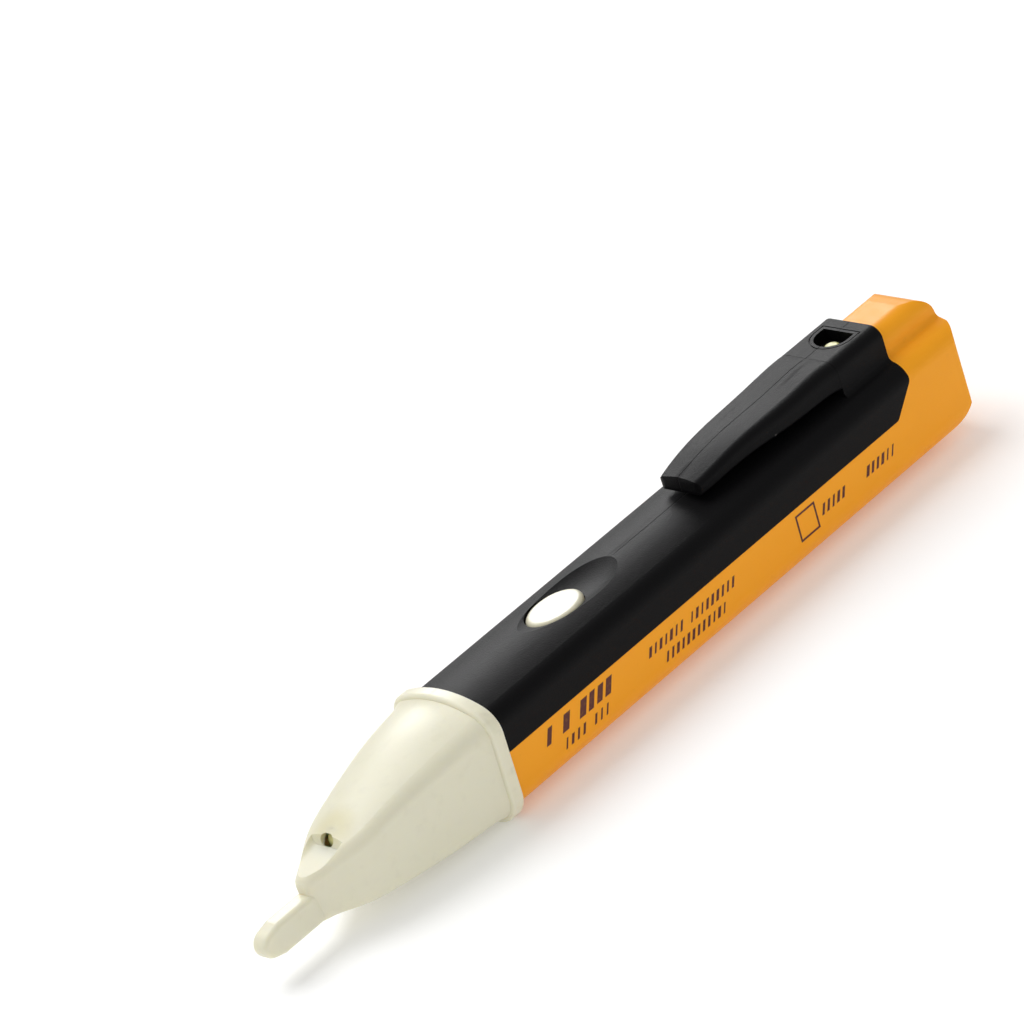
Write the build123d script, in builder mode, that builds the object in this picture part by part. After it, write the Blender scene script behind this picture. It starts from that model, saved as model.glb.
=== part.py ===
from build123d import *
import os
from math import cos, radians, sin, sqrt, tan

os.makedirs("parts", exist_ok=True)

# A slim pen that senses mains voltage through its blade-shaped nose. X runs from the probe tip to the
# tail, Z is up through the button and the clip, and Z = 0 is the underside of the nose flange.

# ---------------------------------------------------------------- driving dimensions, millimetres
# Two AAA cells lie in line and set the length and the girth of the body.
cell_diameter = 10.5
cell_length = 44.5
cell_nub_diameter = 3.6
cell_nub_height = 0.9
sleeve_thickness = 0.1
cell_gap = 0.1

# Walls, from the inside out.
tray_side = 1.25
deck_thickness = 0.7
slide_gap = 0.2
shell_skin = 1.2
cover_skin = 1.0
floor_skin = 1.3
tray_rim = 0.15

# Body outline.
crown_radius = 18.6
shoulder_radius = 3.2
foot_radius = 4.0
side_taper = 0.5
tail_wall = 3.5
tail_foot_radius = 9.0
tail_top_radius = 4.0
tail_corner_radius = 4.0
tail_bulge = 0.8
tail_lean = 0.9
cover_edge_share = 0.54
cover_setback = 13.2
cover_corner_length = 4.5
cover_corner_rise = 4.6
hump_roof = 3.0

# Nose, flange and seal.
nose_length = 45.7
nose_wall = 1.4
flange_step = 1.1
flange_thickness = 2.3
flange_front_round = 0.6
flange_rear_round = 0.35
flare_share = 0.09
flare_rise = 0.4
seal_thickness = 0.5
seal_recess = 0.45
spigot_length = 4.5
spigot_wall = 1.0
nose_narrowing = 5.0
nose_drop = 8.2
nose_lift = 2.8
nose_pinch = 2.4
nose_pinch_share = 0.7
nose_front_round = 0.6
notch_depth = 1.3
notch_front_depth = 0.3
notch_half_width = 3.1
notch_setback = 6.6
notch_round = 1.2
notch_overrun = 2.0
blade_length = 10.4
blade_half_width = 1.5
blade_height = 5.0
blade_rise = 5.4

# Circuit board and what stands on it.
board_thickness = 0.8
board_half_width = 5.4
board_nose_half_width = 3.4
board_side_gap = 0.1
board_tail_reach = 43.3
board_nose_reach = 20.0
switch_height = 1.25
shield_thickness = 0.12
plunger_height = 1.9
plunger_diameter = 2.4
buzzer_diameter = 9.0
buzzer_height = 4.0
led_diameter = 3.0
led_height = 4.2
led_hole_length = 1.9
led_hole_width = 2.6
led_lean = radians(65)
led_rise = 0.9
led_recess = 1.0
led_clearance = 0.1

# Power button and the finger scoop round it.
button_setback = 23.5
button_length = 10.4
button_width = 7.2
button_gap = 0.15
button_travel = 0.4
button_touch_gap = 0.05
button_lip = 1.0
lip_thickness = 0.6
lip_gap = 0.1
button_stand = 0.25
scoop_depth = 1.35
scoop_front_length = 7.4
scoop_deep_offset = 5.5
scoop_back_length = 13.2
scoop_half_width = 5.28

# Clip, its root block and the window of the release pin.
clip_setback = 24.0
clip_length = 31.4
clip_joint_gap = 0.05
clip_root_half_width = 5.8
clip_tip_half_width = 4.1
clip_rise = 4.9
clip_thickness = 4.6
clip_tip_thinning = 2.0
clip_bump_radius = 1.6
clip_bump_gap = 0.35
clip_bump_setback = 5.0
root_round = 2.0
hump_half_width = 5.1
hump_rise = 3.7
valley_round = 1.0
hump_round = 2.7
window_setback = 2.8
window_length = 4.5
window_width = 6.0
window_depth = 1.9
window_floor = 0.8
window_rim = 0.55
window_groove = 0.2
pin_nub_diameter = 2.6
pin_shank_diameter = 3.2
pin_collar_diameter = 4.8
pin_collar_thickness = 0.7
pin_gap = 0.1
pin_nub_sink = 1.1
latch_arm_length = 12.0
latch_arm_thickness = 0.8
latch_bite = 0.8
latch_gap = 0.2
latch_sink = 1.2
barb_inset = 0.45
tongue_overhang = 2.4

# Contacts, springs and screws.
plate_thickness = 0.3
spring_room = 5.0
spring_wire = 0.7
tray_back = 1.6
end_gap = 0.6
bulkhead = 4.0
antenna_thickness = 0.4
antenna_height = 1.8
antenna_clearance = 0.1
screw_diameter = 1.6
screw_head_diameter = 2.8
screw_head_height = 1.2
screw_reach = 9.0
screw_gap = 0.05
screw_boss_wall = 1.1
screw_spread_inset = 1.0
screw_rise = 2.7

# ---------------------------------------------------------------- heights, from the flange's underside
cell_radius = cell_diameter / 2
body_low = flange_step
cavity_low = body_low + floor_skin
tray_low = cavity_low + slide_gap
cell_axis_z = tray_low + tray_rim + cell_radius
deck_top = cell_axis_z + cell_radius + cell_gap + deck_thickness
board_top = deck_top + board_thickness
plunger_top = board_top + plunger_height
lip_low = plunger_top + button_touch_gap
lip_top = lip_low + lip_thickness
cavity_high = lip_top + lip_gap
skins = shell_skin + cover_skin
body_high = cavity_high + skins
body_half_width = cell_radius + cell_gap + tray_side + slide_gap + skins
root_top = body_high + clip_rise
cover_edge_z = body_low + (body_high - body_low) * cover_edge_share
blade_z = body_low + blade_rise

# ---------------------------------------------------------------- places along the pen
body_length = (spigot_length + bulkhead + 2 * plate_thickness + 2 * cell_length + spring_room
               + tray_back + end_gap + tail_wall)
overall_length = nose_length + seal_thickness + body_length
tip_x = -overall_length / 2
tail_x = overall_length / 2
flange_x = tip_x + nose_length
flange_front_x = flange_x - flange_thickness
mouth_x = flange_x + seal_thickness
tray_front_x = mouth_x + spigot_length
bay_front_x = tray_front_x + bulkhead
cells_front_x = bay_front_x + plate_thickness
cells_back_x = cells_front_x + 2 * cell_length
bay_back_x = cells_back_x + spring_room + plate_thickness
tray_back_x = bay_back_x + tray_back
cavity_back_x = tray_back_x + end_gap
button_x = mouth_x + button_setback
scoop_front_x = button_x - scoop_front_length
scoop_deep_x = button_x + scoop_deep_offset
scoop_back_x = button_x + scoop_back_length
hinge_x = tail_x - clip_setback
clip_tip_x = hinge_x - clip_length
cover_end_x = tail_x - cover_setback
window_back_x = cover_end_x - window_setback
window_front_x = window_back_x - window_length
pin_x = window_back_x - window_length / 2
plug_front_x = scoop_front_x - 0.6
plug_back_x = scoop_back_x - 0.9
plug_half_width = button_width / 2 + button_lip + 0.5
board_front_x = flange_x - board_nose_reach
board_back_x = mouth_x + board_tail_reach
nose_front_x = tip_x + blade_length


def crowned_outline(x, half, low, high, crown, shoulder, foot):
    """Outline across the pen at x: crowned top, round shoulders, leaning sides and round feet."""
    edge = high - (crown - sqrt(crown**2 - half**2))
    with BuildSketch(Plane.YZ.offset(x)) as section:
        with BuildLine():
            ThreePointArc((-half, edge), (0, high), (half, edge))
            Polyline((half, edge), (half - side_taper, low), (side_taper - half, low), (-half, edge))
        make_face()
        fillet(section.vertices().group_by(Axis.Y)[-1], shoulder)
        fillet(section.vertices().group_by(Axis.Y)[0], foot)
    return section


def body_section(x, inset=0.0, low=None):
    """The body's outline at x, moved inwards by inset."""
    low = body_low + inset if low is None else low
    return crowned_outline(x, body_half_width - inset, low, body_high - inset, crown_radius - inset,
                           max(shoulder_radius - inset * 0.95, 0.3),
                           max(foot_radius - inset, 0.3)).sketch


def humped_section(x, half, high, top_round):
    """The body's outline at x with a flat-topped hump along its crown, blended at its foot."""
    middle = (body_low + body_high) / 2
    with BuildSketch(Plane.YZ.offset(x)) as section:
        add(crowned_outline(x, body_half_width, body_low, body_high, crown_radius,
                            shoulder_radius, foot_radius).sketch_local)
        with Locations((0, (middle + high) / 2)):
            Rectangle(2 * half, high - middle)
        corners = section.vertices().filter_by(lambda v: abs(abs(v.X) - half) < 0.001)
        fillet(corners.group_by(Axis.Y)[-1], top_round)
        corners = section.vertices().filter_by(lambda v: abs(abs(v.X) - half) < 0.001)
        fillet(corners.filter_by(lambda v: abs(v.Y - body_high) < 1.5), valley_round)
    return section.sketch


def nose_share(x):
    """Share of the way from the flange's front to the root of the blade."""
    return (flange_front_x - x) / (flange_front_x - nose_front_x)


def nose_crown_z(x):
    """Height of the nose's crown at x."""
    return body_high - nose_drop * nose_share(x)**1.65


def nose_section(x, wall=0.0):
    """The nose's outline at x, narrowing and dropping from the flange to the root of the blade."""
    s = nose_share(x)
    u = max(0.0, s - nose_pinch_share) / (1 - nose_pinch_share)
    pinch = nose_pinch * u**2 * (3 - 2 * u)
    half = body_half_width - nose_narrowing * s**1.3 - pinch - wall
    high = nose_crown_z(x) - wall
    low = body_low + nose_lift * s**1.7 + wall
    foot = min(foot_radius - 2.2 * s - wall, half - side_taper - 0.2)
    shoulder = min(shoulder_radius - 1.7 * s - wall * 0.9, half - 0.2)
    return crowned_outline(x, half, low, high, crown_radius - 6.0 * s - wall, max(shoulder, 0.3),
                           max(foot, 0.3)).sketch


# ---------------------------------------------------------------- master outside shape of the body
with BuildPart() as button_scoop:
    axis_z = body_high - scoop_depth + (scoop_half_width**2 + scoop_depth**2) / (2 * scoop_depth)
    deep = (scoop_deep_x, body_high - scoop_depth)
    front = (scoop_front_x, body_high)
    back = (scoop_back_x, body_high)
    with BuildSketch(Plane.XZ):
        with BuildLine():
            TangentArc(deep, front, tangent=(-1, 0))
            TangentArc(deep, back, tangent=(1, 0))
            Polyline(front, (scoop_front_x, axis_z), (scoop_back_x, axis_z), back)
        make_face()
    revolve(axis=Axis((0, 0, axis_z), (1, 0, 0)))

with BuildPart() as end_envelope:
    with BuildSketch(Plane.XZ) as side_view:
        tail_top = (tail_x - tail_lean, root_top - 2.0)
        with BuildLine():
            Polyline((mouth_x, body_low), (tail_x, body_low), (tail_x, cover_edge_z), tail_top,
                     (hinge_x - 1, root_top + 2), (mouth_x, root_top + 2), close=True)
        make_face()
        fillet(side_view.vertices().sort_by_distance(tail_top)[0], tail_top_radius)
        fillet(side_view.vertices().sort_by_distance((tail_x, body_low))[0], tail_foot_radius)
    extrude(amount=body_half_width + 2, both=True)
    with BuildSketch(Plane.XY) as plan_view:
        width = body_half_width + 0.5
        with BuildLine():
            Polyline((tail_x - tail_bulge, -width), (mouth_x, -width), (mouth_x, width),
                     (tail_x - tail_bulge, width))
            ThreePointArc((tail_x - tail_bulge, width), (tail_x, 0), (tail_x - tail_bulge, -width))
        make_face()
        fillet(plan_view.vertices().group_by(Axis.X)[-1], tail_corner_radius)
    extrude(amount=root_top + 5, mode=Mode.INTERSECT)

with BuildPart() as outside:
    extrude(body_section(mouth_x), amount=tail_x - mouth_x)
    extrude(humped_section(hinge_x, clip_root_half_width, root_top, root_round),
            amount=cover_end_x - hinge_x)
    extrude(humped_section(cover_end_x, hump_half_width, body_high + hump_rise, hump_round),
            amount=tail_x - cover_end_x)
    add(end_envelope.part, mode=Mode.INTERSECT)
    add(button_scoop.part, mode=Mode.SUBTRACT)


def round_rear_foot(end_x, low_z, radius):
    """Trim the part being built to end_x and low_z, with a rounded corner between them."""
    with BuildSketch(Plane.XZ) as limit:
        with Locations((end_x, low_z)):
            Rectangle(2 * overall_length, 2 * root_top, align=(Align.MAX, Align.MIN))
        fillet(limit.vertices().group_by(Axis.X)[-1].sort_by(Axis.Y)[0], radius)
    return limit.sketch


cavity_foot_radius = tail_foot_radius - 3.0
with BuildPart() as cavity:
    extrude(body_section(mouth_x, skins, cavity_low), amount=cavity_back_x - mouth_x)
    extrude(round_rear_foot(cavity_back_x, cavity_low, cavity_foot_radius), amount=body_half_width,
            both=True, mode=Mode.INTERSECT)

# The cover lies in a step of the shell, and fills a window of the shell round the button.
with BuildPart() as cover_zone:
    far_up = root_top + 5
    with BuildSketch(Plane.XZ) as side_cut:
        with BuildLine():
            Polyline((mouth_x, cover_edge_z), (cover_end_x - cover_corner_length, cover_edge_z),
                     (cover_end_x, cover_edge_z + cover_corner_rise), (cover_end_x, far_up),
                     (mouth_x, far_up), close=True)
        make_face()
        corners = side_cut.vertices().filter_by(lambda v: v.X > mouth_x + 1 and v.Y < body_high)
        fillet(corners.sort_by(Axis.Y)[0], 1.0)
        corners = side_cut.vertices().filter_by(lambda v: v.X > mouth_x + 1 and v.Y < body_high)
        fillet(corners.sort_by(Axis.Y)[-1], 1.5)
    extrude(amount=body_half_width + 5, both=True)
    extrude(body_section(mouth_x, cover_skin, body_low), amount=cover_end_x - mouth_x + 1,
            mode=Mode.SUBTRACT)
    with BuildSketch(Plane.XY.offset(cavity_high - 2)):
        with Locations(((plug_front_x + plug_back_x) / 2, 0)):
            RectangleRounded(plug_back_x - plug_front_x, 2 * plug_half_width, 1.0)
    extrude(amount=skins + 3)


# ---------------------------------------------------------------- body shell and its black cover
with BuildPart() as body_shell:
    add(outside.part)
    add(cavity.part, mode=Mode.SUBTRACT)
    add(cover_zone.part, mode=Mode.SUBTRACT)
    with BuildSketch(Plane.XY.offset(cavity_high - 2)):
        with Locations(((cover_end_x + 1.2 + cavity_back_x) / 2, 0)):
            Rectangle(cavity_back_x - cover_end_x - 1.2, 2 * (hump_half_width - skins))
    extrude(amount=body_high + hump_rise - hump_roof - cavity_high + 2, mode=Mode.SUBTRACT)
    with BuildSketch(Plane.XY.offset(cavity_high - 2)):
        with Locations((pin_x, 0)):
            Circle(pin_shank_diameter / 2 + latch_gap)
    extrude(amount=skins + 3, mode=Mode.SUBTRACT)
body_shell.part.label = "body_shell"
export_step(body_shell.part, "parts/body_shell.step")


def window_outline(rim):
    """The window's outline, grown by rim: straight at the back and arched at the front."""
    half = window_width / 2 + rim
    shoulder_x = window_back_x - 1.2
    with BuildSketch(Plane.XY.offset(root_top)) as outline:
        with BuildLine():
            Polyline((shoulder_x, -half), (window_back_x + rim, -half), (window_back_x + rim, half),
                     (shoulder_x, half))
            ThreePointArc((shoulder_x, half), (window_front_x - rim, 0), (shoulder_x, -half))
        make_face()
    return outline.sketch


with BuildPart() as window_cut:
    extrude(window_outline(window_rim + window_groove), amount=window_groove, both=True)
    extrude(window_outline(window_rim), amount=window_groove, both=True, mode=Mode.SUBTRACT)
    extrude(window_outline(0), amount=-window_depth)
    extrude(window_outline(0), amount=1)

with BuildPart() as grip_cover:
    add(outside.part)
    add(cavity.part, mode=Mode.SUBTRACT)
    add(cover_zone.part, mode=Mode.INTERSECT)
    with BuildSketch(Plane.XY.offset(body_low)):
        with Locations((button_x, 0)):
            Ellipse(button_length / 2 + button_gap, button_width / 2 + button_gap)
    extrude(amount=root_top, mode=Mode.SUBTRACT)
    with BuildSketch(Plane.XY.offset(cavity_high - 1.5)):
        with Locations((button_x, 0)):
            Ellipse(button_length / 2 + button_lip + 0.3, button_width / 2 + button_lip + 0.3)
    extrude(amount=1.5, mode=Mode.SUBTRACT)
    add(window_cut.part, mode=Mode.SUBTRACT)
    pocket_top = root_top - window_depth - window_floor
    with BuildSketch(Plane.XY.offset(cavity_high)):
        with Locations((pin_x, 0)):
            Circle(pin_collar_diameter / 2 + 2 * pin_gap)
    extrude(amount=pocket_top - cavity_high, mode=Mode.SUBTRACT)
    with BuildSketch(Plane.XY.offset(cavity_high)):
        with Locations((pin_x, 0)):
            Circle(pin_nub_diameter / 2 + pin_gap)
    extrude(amount=root_top, mode=Mode.SUBTRACT)
grip_cover.part.label = "grip_cover"
export_step(grip_cover.part, "parts/grip_cover.step")


# ---------------------------------------------------------------- clip
def clip_section(t):
    """The clip's outline a share t of the way from its tip to its root."""
    x = clip_tip_x + t * (clip_length - clip_joint_gap)
    half = clip_tip_half_width + (clip_root_half_width - clip_tip_half_width) * t**0.55
    arch = 0.6 * (1 - t)**2 + 0.45 * max(0, 0.25 - t) / 0.25
    high = root_top - 0.15 * (1 - t) - 1.5 * arch + 0.25 * t * (1 - t)
    low = high - clip_thickness + clip_tip_thinning * (1 - t)
    crown = 0.02 + 0.45 * (1 - t)
    foot_half = half - 0.3 * (1 - t)
    with BuildSketch(Plane.YZ.offset(x)) as section:
        with BuildLine():
            ThreePointArc((-half, high - crown), (0, high), (half, high - crown))
            Polyline((half, high - crown), (foot_half, low), (-foot_half, low), (-half, high - crown))
        make_face()
        fillet(section.vertices().group_by(Axis.Y)[-1], root_round - 0.9 * (1 - t))
        fillet(section.vertices().group_by(Axis.Y)[0], 0.5)
    return section.sketch


with BuildPart() as pocket_clip:
    for t in (0.0, 0.08, 0.25, 0.5, 0.75, 1.0):
        add(clip_section(t))
    loft()
    with BuildSketch(Plane.XY.offset(body_high)) as tip_plan:
        half = clip_tip_half_width
        with BuildLine():
            Polyline((clip_tip_x, -half), (clip_tip_x, half), (hinge_x, 4 * half),
                     (hinge_x, -4 * half), close=True)
        make_face()
        fillet(tip_plan.vertices().group_by(Axis.X)[0], 1.6)
    extrude(amount=clip_rise + 1, mode=Mode.INTERSECT)
    with BuildSketch(Plane.XZ) as tip_side:
        low = clip_section(0).vertices().sort_by(Axis.Z)[0].Z - 0.05
        high = clip_section(0).vertices().sort_by(Axis.Z)[-1].Z + 0.35
        with BuildLine():
            Polyline((clip_tip_x, low), (clip_tip_x, high), (hinge_x, high + clip_length / 2),
                     (hinge_x, low - clip_length / 2), close=True)
        make_face()
        fillet(tip_side.vertices().group_by(Axis.X)[0], 1.0)
    extrude(amount=2 * clip_root_half_width, both=True, mode=Mode.INTERSECT)
    with BuildSketch(Plane.XZ):
        with Locations((clip_tip_x + clip_bump_setback, body_high + clip_bump_gap + clip_bump_radius)):
            Circle(clip_bump_radius)
    extrude(amount=clip_tip_half_width - 1.0, both=True)
pocket_clip.part.label = "pocket_clip"
export_step(pocket_clip.part, "parts/pocket_clip.step")

# ---------------------------------------------------------------- power button
button_cap_z = body_high - button_stand
with BuildPart() as power_button:
    with BuildSketch(Plane.XY.offset(lip_low)):
        with Locations((button_x, 0)):
            Ellipse(button_length / 2, button_width / 2)
    extrude(amount=button_cap_z - lip_low)
    fillet(power_button.edges().group_by(Axis.Z)[-1], 0.8)
    with BuildSketch(Plane.XY.offset(lip_low)):
        with Locations((button_x, 0)):
            Ellipse(button_length / 2 + button_lip, button_width / 2 + button_lip)
    extrude(amount=lip_thickness)
power_button.part.label = "power_button"
export_step(power_button.part, "parts/power_button.step")

# ---------------------------------------------------------------- release pin and its spring
pin_foot_z = cavity_high + latch_bite + 0.05
collar_top_z = pocket_top - pin_gap
collar_low_z = collar_top_z - pin_collar_thickness
with BuildPart() as release_pin:
    with BuildSketch(Plane.XY.offset(pin_foot_z)):
        with Locations((pin_x, 0)):
            Circle(pin_shank_diameter / 2)
    extrude(amount=collar_low_z - pin_foot_z)
    with BuildSketch(Plane.XY.offset(collar_low_z)):
        with Locations((pin_x, 0)):
            Circle(pin_collar_diameter / 2)
    extrude(amount=pin_collar_thickness)
    with BuildSketch(Plane.XY.offset(collar_top_z)):
        with Locations((pin_x, 0)):
            Circle(pin_nub_diameter / 2)
    extrude(amount=root_top - pin_nub_sink - collar_top_z)
    fillet(release_pin.edges().group_by(Axis.Z)[-1], 0.5)
release_pin.part.label = "release_pin"
export_step(release_pin.part, "parts/release_pin.step")

pin_spring_low = body_high - cover_skin
with BuildPart() as release_spring:
    spring_radius = (pin_shank_diameter + pin_collar_diameter) / 4
    wire = 0.12
    with BuildLine() as coil:
        Helix(pitch=(collar_low_z - pin_spring_low - 2 * wire) / 2.5,
              height=collar_low_z - pin_spring_low - 2 * wire, radius=spring_radius,
              center=(pin_x, 0, pin_spring_low + wire))
    with BuildSketch(Plane(origin=coil.line @ 0, z_dir=coil.line % 0)):
        Circle(wire)
    sweep(is_frenet=True)
release_spring.part.label = "release_spring"
export_step(release_spring.part, "parts/release_spring.step")

# ---------------------------------------------------------------- nose, flange and seal
spigot_inset = skins + slide_gap
boss_y = cell_radius - screw_spread_inset
boss_z = tray_low + screw_rise
boss_diameter = screw_diameter + 2 * screw_boss_wall
notch_x = nose_front_x + notch_setback
notch_z = nose_crown_z(notch_x) - notch_depth
led_x = notch_x + led_rise / tan(led_lean)
led_z = notch_z + led_rise


def torch_plane(depth):
    """Plane square to the torch's line of sight, a depth behind the notch's rear wall."""
    return Plane(origin=(led_x + depth * sin(led_lean), 0, led_z - depth * cos(led_lean)),
                 x_dir=(0, 1, 0), z_dir=(-sin(led_lean), 0, cos(led_lean)))


with BuildPart() as blade:
    with BuildSketch(Plane.XZ) as blade_side:
        top = blade_z + blade_height / 2
        low = blade_z - blade_height / 2
        round_x = tip_x + 1.6
        with BuildLine():
            Polyline((round_x, low + 0.5), (tip_x + 3.5, low), (nose_front_x + 3, low),
                     (nose_front_x + 3, top), (tip_x + 3.5, top), (round_x, top - 0.5))
            ThreePointArc((round_x, top - 0.5), (tip_x, blade_z), (round_x, low + 0.5))
        make_face()
        fillet(blade_side.vertices().filter_by(lambda v: v.X < tip_x + 4), 0.9)
    extrude(amount=blade_half_width, both=True)
    fillet(blade.faces().filter_by(Axis.Y).edges(), 0.8)

# A notch in the crown with a steep rear wall, which the torch shines out of.
with BuildPart() as torch_notch:
    with BuildSketch(Plane.XZ):
        over = nose_crown_z(flange_front_x)
        wall_run = (over - notch_z) / tan(led_lean)
        with BuildLine():
            Polyline((nose_front_x - notch_overrun, nose_crown_z(nose_front_x) - notch_front_depth),
                     (notch_x, notch_z), (notch_x + wall_run, over),
                     (nose_front_x - notch_overrun, over), close=True)
        make_face()
    extrude(amount=notch_half_width, both=True)
    fillet(torch_notch.faces().sort_by(Axis.Z)[0].edges().filter_by(Axis.Y, reverse=True), notch_round)

with BuildPart() as flange_ring:
    extrude(body_section(flange_front_x, -flange_step), amount=flange_thickness)
    fillet(flange_ring.edges().group_by(Axis.X)[0], flange_front_round)
    fillet(flange_ring.edges().group_by(Axis.X)[-1], flange_rear_round)

with BuildPart() as nose_hollow:
    for share in (0, 0.3, 0.6, 0.84):
        add(nose_section(flange_front_x - share * (flange_front_x - nose_front_x), nose_wall))
    loft()
    extrude(body_section(flange_front_x - 0.01, spigot_inset + spigot_wall, tray_low + spigot_wall),
            amount=flange_thickness + seal_thickness + spigot_length + 1)

with BuildPart() as nose_cone:
    # The wide end runs out to the flange in a hollow curve.
    for share, grow in ((0, flare_rise), (flare_share * 0.45, flare_rise * 0.22), (flare_share, 0),
                        (0.2, 0), (0.4, 0), (0.6, 0), (0.7, 0), (0.8, 0), (0.9, 0), (0.96, 0),
                        (0.985, -0.2 * nose_front_round), (1.0, -nose_front_round)):
        add(nose_section(flange_front_x - share * (flange_front_x - nose_front_x), -grow))
    loft()
    add(torch_notch.part, mode=Mode.SUBTRACT)
    add(flange_ring.part)
    extrude(body_section(flange_x - 0.01, spigot_inset, tray_low),
            amount=seal_thickness + spigot_length + 0.01)
    add(blade.part)
    add(nose_hollow.part, mode=Mode.SUBTRACT)
    with BuildSketch(Plane.YZ.offset(tip_x + 2.4)):
        with Locations((0, blade_z)):
            Rectangle(antenna_thickness + 2 * antenna_clearance, antenna_height + 2 * antenna_clearance)
    extrude(amount=blade_length + 4, mode=Mode.SUBTRACT)
    with BuildSketch(torch_plane(led_recess + 1.0)):
        SlotOverall(led_hole_width, led_hole_length)
    extrude(amount=led_recess + 1.5, mode=Mode.SUBTRACT)
    with BuildSketch(torch_plane(led_recess - led_clearance)):
        Circle(led_diameter / 2 + led_clearance)
    extrude(amount=-led_height, mode=Mode.SUBTRACT)
    with BuildSketch(Plane.YZ.offset(tray_front_x - screw_reach)):
        with Locations((-boss_y, boss_z), (boss_y, boss_z)):
            Circle(boss_diameter / 2)
    extrude(amount=screw_reach)
    with BuildSketch(Plane.YZ.offset(tray_front_x - screw_reach + 1)):
        with Locations((-boss_y, boss_z), (boss_y, boss_z)):
            Circle(screw_diameter / 2 + screw_gap)
    extrude(amount=screw_reach, mode=Mode.SUBTRACT)
nose_cone.part.label = "nose_cone"
export_step(nose_cone.part, "parts/nose_cone.step")

with BuildPart() as nose_seal:
    extrude(body_section(flange_x, seal_recess), amount=seal_thickness)
    extrude(body_section(flange_x, spigot_inset, tray_low), amount=seal_thickness, mode=Mode.SUBTRACT)
nose_seal.part.label = "nose_seal"
export_step(nose_seal.part, "parts/nose_seal.step")

# ---------------------------------------------------------------- battery tray
arm_low_z = cavity_high - latch_arm_thickness - latch_sink
arm_root_x = pin_x - latch_arm_length
arm_half_width = pin_shank_diameter / 2 + 0.6
rail_top = board_top + 0.4
bay_radius = cell_radius + cell_gap
board_screw_y = board_half_width - 1.4
board_screw_xs = (tray_front_x + 2.0, board_back_x - 3.0)
board_screw_places = [(x, y) for x in board_screw_xs for y in (-board_screw_y, board_screw_y)]
board_screw_diameter = 1.4
board_screw_foot_z = deck_top - 1.6
strip_y = -board_screw_y - 0.1
strip_width = 2.0

with BuildPart() as battery_tray:
    extrude(body_section(tray_front_x, spigot_inset, tray_low), amount=tray_back_x - tray_front_x)
    extrude(round_rear_foot(tray_back_x, tray_low, cavity_foot_radius - slide_gap),
            amount=body_half_width, both=True, mode=Mode.INTERSECT)
    with BuildSketch(Plane.XY.offset(deck_top)):
        with Locations(((tray_front_x + tray_back_x) / 2, 0)):
            Rectangle(tray_back_x - tray_front_x + 2, 2 * (board_half_width + board_side_gap))
    extrude(amount=body_high, mode=Mode.SUBTRACT)
    with BuildSketch(Plane.XY.offset(deck_top)):
        with Locations((board_back_x + 0.5, 0)):
            Rectangle(tray_back_x, 4 * body_half_width, align=(Align.MIN, Align.CENTER))
    extrude(amount=body_high, mode=Mode.SUBTRACT)
    with BuildSketch(Plane.XY.offset(rail_top)):
        Rectangle(2 * overall_length, 4 * body_half_width)
    extrude(amount=body_high, mode=Mode.SUBTRACT)
    with BuildSketch(Plane.YZ.offset(bay_front_x)):
        with Locations((0, cell_axis_z)):
            Circle(bay_radius)
            Rectangle(2 * bay_radius, 2 * cell_axis_z, align=(Align.CENTER, Align.MAX))
    extrude(amount=bay_back_x - bay_front_x, mode=Mode.SUBTRACT)
    with BuildSketch(Plane.XY.offset(cell_axis_z)):
        with Locations((bay_front_x + plate_thickness / 2, 0)):
            Rectangle(plate_thickness + 0.1, strip_width + 0.2)
        with Locations((bay_back_x - plate_thickness / 2, strip_y)):
            Rectangle(plate_thickness + 0.1, strip_width + 0.2)
    extrude(amount=deck_top, mode=Mode.SUBTRACT)
    with BuildSketch(Plane.YZ.offset(tray_front_x - 1)):
        with Locations((-boss_y, boss_z), (boss_y, boss_z)):
            Circle(screw_diameter / 2 + 2 * screw_gap)
    extrude(amount=bulkhead + 2, mode=Mode.SUBTRACT)
    with BuildSketch(Plane.YZ.offset(bay_front_x)):
        with Locations((-boss_y, boss_z), (boss_y, boss_z)):
            Circle(screw_head_diameter / 2 + 2 * screw_gap)
    extrude(amount=-screw_head_height - 0.1, mode=Mode.SUBTRACT)
    with BuildSketch(Plane.XY.offset(board_screw_foot_z)):
        with Locations(*board_screw_places):
            Circle(board_screw_diameter / 2 + screw_gap)
    extrude(amount=board_thickness + 2, mode=Mode.SUBTRACT)
    with BuildSketch(Plane.XY.offset(deck_top)):
        with Locations((arm_root_x - clip_joint_gap, 0)):
            Rectangle(3, 2 * arm_half_width, align=(Align.MAX, Align.CENTER))
    extrude(amount=arm_low_z + latch_arm_thickness - deck_top)
battery_tray.part.label = "battery_tray"
export_step(battery_tray.part, "parts/battery_tray.step")

with BuildPart() as latch_tongue:
    barb_top = cavity_high + latch_bite
    barb_half = pin_shank_diameter / 2 - barb_inset
    tongue_end_x = pin_x + tongue_overhang
    with BuildSketch(Plane.XZ):
        with BuildLine():
            Polyline((arm_root_x, arm_low_z), (tongue_end_x, arm_low_z),
                     (tongue_end_x, arm_low_z + latch_arm_thickness),
                     (arm_root_x, arm_low_z + latch_arm_thickness), close=True)
        make_face()
    extrude(amount=arm_half_width, both=True)
    with BuildSketch(Plane.XZ):
        with BuildLine():
            Polyline((pin_x - barb_half, arm_low_z + 0.1), (pin_x - barb_half, barb_top),
                     (pin_x + barb_half - 0.5, barb_top), (pin_x + barb_half, barb_top - 0.6),
                     (pin_x + barb_half, arm_low_z + 0.1), close=True)
        make_face()
    extrude(amount=barb_half, both=True)
latch_tongue.part.label = "latch_tongue"
export_step(latch_tongue.part, "parts/latch_tongue.step")

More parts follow.
